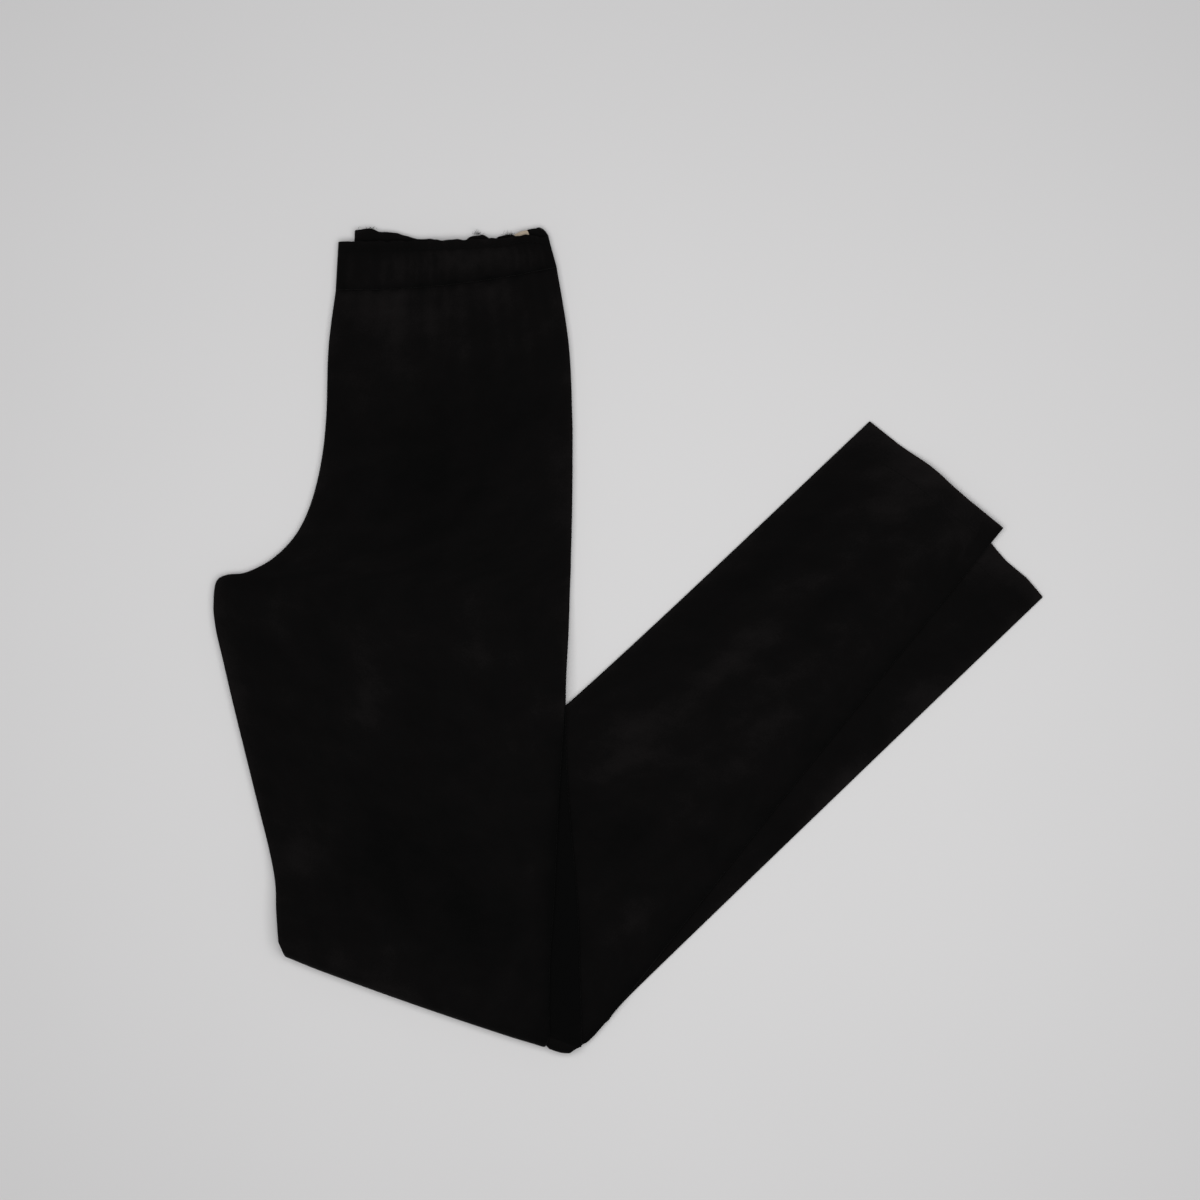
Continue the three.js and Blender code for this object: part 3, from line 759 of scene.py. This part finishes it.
# %% [markdown]
# ## Waistband
# The band is a casing of the same suede with elastic drawn through it, held by a row of stitching
# below its top edge. Relaxed, the elastic gathers the casing: it puffs between the stitch rows and
# is pinched at them. Folded flat, each half goes round its centre seam like a hairpin, so one
# section runs in along its upper layer, round the bend and back out along its lower one.

# %% Waistband shapes
BAND_HEIGHT = 34.0
BAND_ROWS = 34
BAND_COLUMNS = 150
BEND_COLUMNS = 15
BAND_LIFT = 0.9  # room under the front half for the label
STITCH_AT = 0.82  # the elastic's stitch row, as a share of the band's height
# The back's top edge: x, and how high it stands over the straight line there.
BACK_EDGE = np.array([
    (-184.0, 6.0), (-180.5, 8.0), (-172.0, 9.0), (-166.5, 6.8), (-160.0, 6.2), (-153.0, 5.5), (-146.0, 2.9),
    (-140.0, 1.4), (-130.0, 1.2), (-121.0, -0.8), (-114.0, 0.6), (-106.5, -0.9), (-103.5, 2.2), (-100.0, 3.1),
    (-96.5, 3.2), (-91.5, 0.0), (-87.5, -0.3), (-83.3, 2.2), (-77.5, 2.8), (-74.0, 1.6), (-70.0, 2.3),
    (-67.0, 3.4), (-64.5, 5.5), (-59.5, 6.8), (-55.5, 4.6), (-53.0, 0.5),
])
BACK_INSET = 11.0
# The front edge rises a little over the label's foot, which only lets the label's tip show.
LABEL_X = (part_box("label")[0].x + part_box("label")[1].x) / 2 / MM
LABEL_LOBE, LABEL_LOBE_WIDTH = 1.7, 7.0
FRONT_SCALLOP, BACK_SCALLOP = 0.3, 0.15
# Heights in the stack that part each half's upper layer from its lower one, with the ramp's length.
FRONT_PARTING, FRONT_PARTING_OVER = 5.5, 1.5
BACK_PARTING, BACK_PARTING_OVER = 4.2, 1.0
BACK_SHIFT = 2.5  # how far the back's lower layer lies to one side of its upper one
FREE_FROM, FREE_OVER = 22.0, 3.0  # how high up the band the back half starts to stand free
FLUTES, FLUTE_HEIGHT, FREE_LIFT = 23, 0.45, 0.5


def band_rows(count):
    """Rows from the waist seam to the top edge, with how far up the band each is."""
    up = np.linspace(0, 1, count)[:, None]
    values = mix(THIGH[0], BAND_TOP, up)
    values[:, 1::2][:, :2] += (1 - up) * SEAM_GAP
    return {**as_rows(values, 0.0, 1.0, 0.0), "up": up, "under": False}


def band_section(rows, upper, lower, inset, columns):
    """A hairpin section: in along the upper layer, round the centre seam and out along the lower."""
    high, low = (BAND_WALL / 2 + layer * PITCH for layer in (upper, lower))
    radius = (high - low) / 2
    start = (inset + BAND_WALL / 2 + radius) * np.ones_like(rows["ix"])
    end = row_length(rows) - BAND_WALL / 2
    down = (-SEWN_TURN if upper == TOP_FRONT else SEWN_TURN) * np.ones_like(rows["ix"])

    def sheet(height, turn):
        edge = turned_edge(end, -1, turn, height)
        return np.concatenate((edge, flat_span(edge[0][:, -1:], start, height, columns)), axis=2)

    bend = np.linspace(0, np.pi, BEND_COLUMNS)[None, :] * np.ones_like(start)
    tilt, upright = -np.sin(bend), np.cos(bend)
    hairpin = (start + radius * tilt, low + radius * (1 + upright), tilt, upright)
    under = sheet(low, -down)[:, :, ::-1] * np.array((1, 1, -1, -1))[:, None, None]
    return np.concatenate((sheet(high, down), np.stack(hairpin), under), axis=2)


def pinch(up):
    """One between the stitch rows and near zero at them: the seam, the elastic's row and the edge."""
    at_seam = 1 - 0.85 * np.exp(-((up / 0.07) ** 2))
    at_stitch = 1 - 0.8 * np.exp(-(((up - STITCH_AT) / 0.045) ** 2))
    return at_seam * at_stitch


def band_relief(rows, s):
    """The front band's relief: gathers carried up from the hip, finer ones between them, and the puff
    of the elastic casing between its stitch rows."""
    length, up = row_length(rows), rows["up"]
    share = np.clip(s / length, 0, 1)
    margin = smooth(np.minimum(s, length - s) / 9)
    wander = 0.006 * np.sin(7 * up + 9 * share)
    broad = gathers(share + wander, np.zeros_like(share), length)
    turn = share * 24 + 1.5 * np.sin(5.1 * share) + 0.9 * np.sin(13 * share + 1) + 0.15 * np.sin(9 * up)
    fine = (0.07 + 0.12 * smooth((share - 0.2) / 0.3)) * (1 + np.cos(2 * np.pi * turn))
    puff = 0.55 * np.sin(np.pi * np.clip(up / STITCH_AT, 0, 1)) ** 0.5
    return margin * (BAND_LIFT + puff * pinch(up) + (0.62 * broad + fine) * (0.35 + 0.65 * pinch(up)))


def back_rise(x):
    """The back edge's height over the straight line, from the table, with its corners rounded off by
    averaging over a bell curve one millimetre wide."""
    steps = np.linspace(-2.2, 2.2, 9)
    bell = np.exp(-((steps / 1.0) ** 2))
    spread = [b * np.interp(x + step, BACK_EDGE[:, 0], BACK_EDGE[:, 1]) for b, step in zip(bell, steps)]
    return np.sum(spread, axis=0) / bell.sum()


def scallop(share, up, depth):
    """A small uneven wave of the top edge, which fades below the stitch row."""
    wave = np.sin(2 * np.pi * share * 11 + 1.0) + 0.6 * np.sin(2 * np.pi * share * 19 + 2.2)
    return depth * wave * smooth((up - STITCH_AT) / (1 - STITCH_AT))


def put_front_band(rows, s, height, middle):
    """The front half's points: relief on the layer that shows, and a lightly scalloped edge."""
    x, y = plan(rows, s)
    share = np.clip(s / row_length(rows), 0, 1)
    y = y + scallop(share, rows["up"], FRONT_SCALLOP) * smooth(s / 12)
    y = y + LABEL_LOBE * rows["up"] * np.exp(-(((x - LABEL_X) / LABEL_LOBE_WIDTH) ** 2))
    upper = smooth((middle - FRONT_PARTING) / FRONT_PARTING_OVER)
    return np.stack((x, y, height + upper * band_relief(rows, s)), axis=-1) * MM


def put_back_band(rows, s, height, middle):
    """The back half's points: lobes above the edge, and soft flutes where they stand free."""
    x, y = plan(rows, s)
    up = rows["up"]
    layer_shift = BACK_SHIFT * smooth((BACK_PARTING - middle) / BACK_PARTING_OVER)
    share = np.clip(s / row_length(rows), 0, 1)
    y = y + up * back_rise(x + layer_shift) + scallop(share + 0.03, up, BACK_SCALLOP)
    free = smooth((y - (THIGH[0, 3] + FREE_FROM)) / FREE_OVER)
    flutes = FLUTE_HEIGHT * (1 + np.cos(2 * np.pi * share * FLUTES)) + FREE_LIFT
    return np.stack((x, y, height + stack_share(middle) * free * flutes), axis=-1) * MM


def band_half(name, node, upper_layer, lower_layer, inset, put):
    """One half of the band as a closed hairpin wall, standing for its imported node."""
    rows = band_rows(BAND_ROWS)
    section = band_section(rows, upper_layer, lower_layer, inset, BAND_COLUMNS)
    outer, inner = wall_faces(rows, section, BAND_WALL, put)
    round_way = np.linalg.norm(np.diff(outer, axis=1), axis=-1)
    around = np.concatenate((np.zeros((len(outer), 1)), np.cumsum(round_way, axis=1)), axis=1)
    cloth_map = np.stack((around + 2.5 + upper_layer * 0.5, lengths_along(outer)), axis=-1)
    x, y = plan(rows, section[0])
    from_seam, from_top = BAND_HEIGHT * rows["up"], BAND_HEIGHT * (1 - rows["up"])
    edge = np.minimum(section[0] - inset, row_length(rows) - section[0])
    # The band's edges and its top edge get the lighter rim: wear with a painted highlight.
    rim = np.clip(wear_and_rim_light(edge) + np.exp(-from_top / 1.8), 0, 1)
    share = np.clip(section[0] / row_length(rows), 0, 1)
    pinched = np.exp(-((from_seam / PUCKER_REACH) ** 2)) * puckers(share, row_length(rows))
    # Painted shade in the tone: gather crests lighter, hollows and the seam's puckers darker.
    tone = nap_and_shadow_tone(x, y) + crease_painted_shade(band_relief(rows, section[0]) - 1.9) - 0.9 * pinched
    values = {"nap": np.clip(tone, TONE_LOW, TONE_HIGH), "rim": rim, "raw": np.zeros_like(x)}
    piece = closed_wall(name, outer, inner, cloth_map, values)
    piece.data.materials.append(SUEDE_NAP)
    grids[name] = (outer, inner)
    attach(piece, "root")
    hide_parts(node)
    return piece


band_half("front_waistband", "waistband_front", TOP_FRONT, UNDER_FRONT, 0.0, put_front_band)
band_half("back_waistband", "waistband_back", TOP_BACK, UNDER_BACK, BACK_INSET, put_back_band)

# %% [markdown]
# ## Stitches
# The thread is black polyester, a little glossier than the nap, so each stitch shows as a small
# glint in its row. A stitch is a flattened spindle lying on the cloth, and every row is one mesh
# made by placing the same spindle along a line on a panel's grid.

# %% Stitch rows
STITCH_LENGTH, STITCH_STEP, STITCH_RADIUS = 2.6, 3.3, 0.24
SPINDLE_RINGS = 7


def sample(grid, i, j):
    """The grid's surface at fractional rows i and columns j, evenly blended between its corners."""
    i0 = np.clip(i.astype(int), 0, grid.shape[0] - 2)
    j0 = np.clip(j.astype(int), 0, grid.shape[1] - 2)
    u, v = (i - i0)[:, None], (j - j0)[:, None]
    near = mix(grid[i0, j0], grid[i0, j0 + 1], v)
    return mix(near, mix(grid[i0 + 1, j0], grid[i0 + 1, j0 + 1], v), u)


def line_on(grid, row, columns):
    """Even stitch places along one row of a grid, with the way along it and the way out of it."""
    fine = np.linspace(*columns, 1200)
    line = sample(grid, np.full_like(fine, row), fine)
    run = np.concatenate(([0], np.cumsum(np.linalg.norm(np.diff(line, axis=0), axis=1))))
    at = np.interp(np.arange(1.0 * MM, run[-1] - MM, STITCH_STEP * MM), run, fine)
    rows_at = np.full_like(at, row)
    along = sample(grid, rows_at, at + 0.3) - sample(grid, rows_at, at - 0.3)
    down = sample(grid, rows_at + 0.5, at) - sample(grid, rows_at - 0.5, at)
    along /= np.linalg.norm(along, axis=1, keepdims=True)
    out = np.cross(along, down)
    out /= np.linalg.norm(out, axis=1, keepdims=True)
    return sample(grid, rows_at, at), along, out


def spindles(centres, along, out):
    """Copies of a flattened spindle: rings of six points whose radius follows half a sine wave."""
    side = np.cross(out, along)
    t = np.linspace(0, 1, SPINDLE_RINGS)
    turn = np.arange(6) * np.pi / 3
    radius = STITCH_RADIUS * MM * np.sqrt(np.sin(np.pi * np.clip(t, 0.03, 0.97)))
    u = np.repeat((t - 0.5) * STITCH_LENGTH * MM, 6)
    v = np.outer(radius, np.cos(turn)).ravel()
    w = 0.7 * np.outer(radius, np.sin(turn)).ravel()
    points = (
        centres[:, None, :]
        + u[None, :, None] * along[:, None, :]
        + v[None, :, None] * side[:, None, :]
        + w[None, :, None] * out[:, None, :]
    )
    k, m = np.meshgrid(np.arange(SPINDLE_RINGS - 1), np.arange(6), indexing="ij")
    a, b = k * 6 + m, k * 6 + (m + 1) % 6
    quads = np.stack((a, b, b + 6, a + 6), axis=-1).reshape(-1, 4)
    count = 6 * SPINDLE_RINGS
    offsets = np.arange(len(centres))[:, None, None] * count
    caps = np.array((np.arange(5, -1, -1), np.arange(count - 6, count)))
    quads, caps = (quads[None] + offsets).reshape(-1, 4), (caps[None] + offsets).reshape(-1, 6)
    return points.reshape(-1, 3), quads, caps


def thread_material():
    """Black polyester sewing thread: smooth filaments, so a narrow soft gloss."""
    material, tree, shader, add = new_material("black_sewing_thread")
    place_on = add("ShaderNodeTexCoord").outputs["Object"]
    twist = add("ShaderNodeTexNoise", None, {"Vector": place_on, "Scale": 1 / (0.5 * MM), "Detail": 1.0})
    ramp = add("ShaderNodeValToRGB", None, {"Fac": twist.outputs["Fac"]})
    ramp.color_ramp.elements[0].color = linear("040404")
    ramp.color_ramp.elements[1].color = linear("0b0a0a")
    tree.links.new(ramp.outputs["Color"], shader.inputs["Base Color"])
    shader.inputs["Roughness"].default_value = 0.6
    shader.inputs["Specular IOR Level"].default_value = 0.05
    return material


def stitch_row(name, lines):
    """One piece that holds every stitch of the given lines."""
    points, quads, caps, used = [], [], [], 0
    for centres, along, out in lines:
        p, q, c = spindles(centres, along, out)
        points.append(p)
        quads.append(q + used)
        caps.append(c + used)
        used += len(p)
    faces = np.concatenate(quads).tolist() + np.concatenate(caps).tolist()
    piece = mesh_piece(name, np.concatenate(points), faces, len(faces))
    piece.data.materials.append(THREAD)
    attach(piece, "root")
    print(name, sum(len(line[0]) for line in lines), "stitches")
    return piece


THREAD = thread_material()


# %% Where the rows of stitches are
def row_near_hem(grid, from_hem):
    """The fractional row of a panel's grid that lies a given distance from its hem."""
    length = lengths_along(grid[:, grid.shape[1] // 2 : grid.shape[1] // 2 + 1])[:, 0] / MM
    return float(np.interp(length[-1] - from_hem, length, np.arange(len(length))))


HEM_TURN = 16.0
UPPER_FACE, LOWER_FACE = 0, 1
OUTWARD_FACES = (
    ("under_leg_front_panel", LOWER_FACE), ("under_leg_back_panel", UPPER_FACE),
    ("top_leg_back_panel", LOWER_FACE), ("top_leg_front_panel", UPPER_FACE),
)
last = SPAN_COLUMNS + 2 * EDGE_COLUMNS - 2
inside = (EDGE_COLUMNS, last - EDGE_COLUMNS)
hem_lines = []
for panel, face in OUTWARD_FACES:
    grid = grids[panel][face]
    hem_lines.append(line_on(grid, row_near_hem(grid, HEM_TURN), inside))
band_grid = grids["front_waistband"][UPPER_FACE]
upper_columns = (EDGE_COLUMNS + 1, EDGE_COLUMNS + BAND_COLUMNS - 3)
band_lines = [line_on(band_grid, STITCH_AT * (BAND_ROWS - 1), upper_columns)]

# %% [markdown]
# ## Label
# A blank woven tab is sewn inside the back of the band, beside the side seam. Only its tip stands
# above the edge, leaning a little. It carries no words or marks.

# %% Label
LABEL_BEIGE, LABEL_SHADE = "b4a694", "85755f"
LABEL_HALF = np.array((4.8, 6.8)) * MM
LABEL_THICK, LABEL_LEAN = 0.4 * MM, 0.34


def tape_material():
    """Satin-woven polyester tape: a fine rib across it, softly shiny, the colour of oatmeal."""
    material, tree, shader, add = new_material("beige_woven_tape")
    cloth = add("ShaderNodeUVMap", {"uv_map": "cloth"}).outputs["UV"]
    rib = add(
        "ShaderNodeTexWave", {"bands_direction": "Y"},
        {"Vector": cloth, "Scale": 0.16 / (0.5 * MM), "Distortion": 0.6},
    )
    fuzz = add("ShaderNodeTexNoise", None, {"Vector": cloth, "Scale": 1 / (1.4 * MM), "Detail": 3.0})
    blend = add(
        "ShaderNodeMath", {"operation": "MULTIPLY_ADD"},
        {0: rib.outputs["Fac"], 1: 0.4, 2: fuzz.outputs["Fac"]},
    )
    ramp = add("ShaderNodeValToRGB", None, {"Fac": blend.outputs[0]})
    ramp.color_ramp.elements[0].color = linear(LABEL_SHADE)
    ramp.color_ramp.elements[1].color = linear(LABEL_BEIGE)
    bump = add("ShaderNodeBump", None, {"Height": rib.outputs["Fac"], "Strength": 0.3, "Distance": 0.1 * MM})
    tree.links.new(ramp.outputs["Color"], shader.inputs["Base Color"])
    tree.links.new(bump.outputs["Normal"], shader.inputs["Normal"])
    shader.inputs["Roughness"].default_value = 0.7
    shader.inputs["Specular IOR Level"].default_value = 0.3
    return material


def label_piece():
    """The tab as a closed wall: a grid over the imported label's box, with its tip bent slightly up and
    its corners rounded like a superellipse."""
    low, high = (np.array(c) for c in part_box("label"))
    u, v = np.meshgrid(np.linspace(-1, 1, 25), np.linspace(-1, 1, 37))
    round_off = np.sqrt(1 - 0.16 * np.abs(v) ** 8)
    x = u * LABEL_HALF[0] * round_off
    y = v * LABEL_HALF[1] + 0.25 * MM * np.cos(np.pi * u)
    centre = (low + high) / 2
    px = centre[0] + x * np.cos(LABEL_LEAN) - y * np.sin(LABEL_LEAN)
    py = centre[1] + x * np.sin(LABEL_LEAN) + y * np.cos(LABEL_LEAN)
    bend = 0.6 * MM * smooth(v - 0.3) + 0.12 * MM * np.cos(3 * u)
    upper = np.stack((px, py, centre[2] + LABEL_THICK / 2 + bend), axis=-1)
    lower = upper - np.array((0, 0, LABEL_THICK))
    cloth_map = np.stack((x + 0.1, y + 0.1), axis=-1)
    piece = closed_wall("blank_label_tab", upper, lower, cloth_map, {})
    piece.data.materials.append(tape_material())
    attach(piece, "root")
    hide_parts("label")
    return piece


label_piece()
stitch_row("hem_stitches", hem_lines)
stitch_row("waistband_stitches", band_lines)

# %% [markdown]
# ## Loose fibres
# Buffed suede sheds a little at a gathered edge, and a few small wisps stand on the waist's top edge.
# Each fibre is a hair-thin tube along a bent line, and all of them are one mesh.

# %% Fibre wisps
FIBRE_RADIUS = 0.09
FIBRE_RINGS = 8
# x, y, spread, count, longest
WISPS = [
    (-100.0, 270.6, 3.2, 26, 3.4), (-79.0, 269.8, 3.4, 30, 3.2),
    (-66.0, 272.4, 1.6, 10, 2.6), (-172.0, 274.0, 6.0, 16, 2.2),
]


def fibre_tubes():
    """Tubes of four sides along quadratic curves, from a seeded draw of roots, ways and lengths."""
    draw = np.random.default_rng(7)
    starts, ways, bends = [], [], []
    for x, y, spread, count, longest in WISPS:
        spots = draw.normal(0, 0.45, (count, 2)) * (spread, 0.5)
        starts.append(np.column_stack((x + spots[:, 0], y + spots[:, 1], draw.uniform(5.6, 6.8, count))))
        angle = draw.uniform(0.15, np.pi - 0.15, count)
        size = draw.uniform(0.4, 1.0, count) * longest
        rise = draw.uniform(-0.1, 0.7, count)
        ways.append(np.column_stack((np.cos(angle), np.sin(angle), rise)) * size[:, None])
        bends.append(draw.normal(0, 0.35, (count, 3)) * size[:, None])
    starts, ways, bends = (np.concatenate(a) * MM for a in (starts, ways, bends))
    t = np.linspace(0, 1, FIBRE_RINGS)[None, :, None]
    path = starts[:, None] + ways[:, None] * t + 4 * bends[:, None] * t * (1 - t) * 0.5
    tangent = np.gradient(path, axis=1)
    tangent /= np.linalg.norm(tangent, axis=2, keepdims=True)
    side = np.cross(tangent, (0.3, 0.2, 0.93))
    side /= np.linalg.norm(side, axis=2, keepdims=True)
    up = np.cross(side, tangent)
    thin = FIBRE_RADIUS * MM * (1 - 0.7 * t)
    rings = np.stack([path + thin * w for w in (side, up, -side, -up)], axis=2)
    ring, around = 4 * np.arange(FIBRE_RINGS - 1)[:, None], np.arange(4)[None, :]
    a, b = (ring + around).ravel(), (ring + (around + 1) % 4).ravel()
    caps = np.array(((3, 2, 1, 0), 4 * (FIBRE_RINGS - 1) + np.arange(4)))
    quads = np.concatenate((np.stack((a, b, b + 4, a + 4), axis=-1), caps))
    faces = quads[None] + np.arange(len(starts))[:, None, None] * 4 * FIBRE_RINGS
    faces = faces.reshape(-1, 4).tolist()
    return mesh_piece("suede_fibre_wisps", rings.reshape(-1, 3), faces, len(faces))


wisps = fibre_tubes()
wisps.data.materials.append(THREAD)
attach(wisps, "root")

# %% [markdown]
# ## Setting
# The garment lies on a plain pale floor and is seen from straight above. Two large soft lights hang
# over it, one to each side, so a short soft shadow shows all round and the floor is a little darker
# towards the borders of the view.

# %% Floor, light and camera
FLOOR_GREY = "dedddd"
CAMERA_AT = np.array((-18.7, 26.7)) * MM
CAMERA_HEIGHT = 1.894


def floor_material():
    """Matt pale paper, with the faintest mottle."""
    material, tree, shader, add = new_material("pale_paper_floor")
    place_on = add("ShaderNodeTexCoord").outputs["Object"]
    mottle = add("ShaderNodeTexNoise", None, {"Vector": place_on, "Scale": 6.0, "Detail": 2.0})
    ramp = add("ShaderNodeValToRGB", None, {"Fac": mottle.outputs["Fac"]})
    ramp.color_ramp.elements[0].color = linear("dcdbdb")
    ramp.color_ramp.elements[1].color = linear(FLOOR_GREY)
    tree.links.new(ramp.outputs["Color"], shader.inputs["Base Color"])
    shader.inputs["Roughness"].default_value = 0.95
    shader.inputs["Specular IOR Level"].default_value = 0.1
    return material


def area_light(name, place_at, target, size, power):
    """A square soft light at a place, facing a target."""
    light = bpy.data.lights.new(name, "AREA")
    light.size, light.energy = size, power
    lamp = bpy.data.objects.new(name, light)
    bpy.context.scene.collection.objects.link(lamp)
    lamp.location = place_at
    way = np.array(target) - np.array(place_at)
    lamp.rotation_euler = Vector(way).to_track_quat("-Z", "Y").to_euler()


bpy.ops.mesh.primitive_plane_add(size=8.0, location=(0, 0, -0.0002))
floor = bpy.context.active_object
floor.name = "floor"
floor.data.materials.append(floor_material())

area_light("right_softbox", (0.28, -0.08, 1.35), (0.28, -0.08, 0), 1.0, 10.1)
area_light("left_softbox", (-0.35, 0.05, 1.6), (-0.35, 0.05, 0), 1.0, 11.4)

world = bpy.data.worlds.new("studio")
bpy.context.scene.world = world
world.use_nodes = True
world.node_tree.nodes["Background"].inputs["Color"].default_value = linear("eceef2")
world.node_tree.nodes["Background"].inputs["Strength"].default_value = 0.14

camera_data = bpy.data.cameras.new("overhead_camera")
camera_data.lens, camera_data.sensor_width = 85, 36
camera = bpy.data.objects.new("overhead_camera", camera_data)
camera.location = (*CAMERA_AT, CAMERA_HEIGHT)
bpy.context.scene.collection.objects.link(camera)
bpy.context.scene.camera = camera
bpy.context.scene.view_settings.view_transform = "Standard"
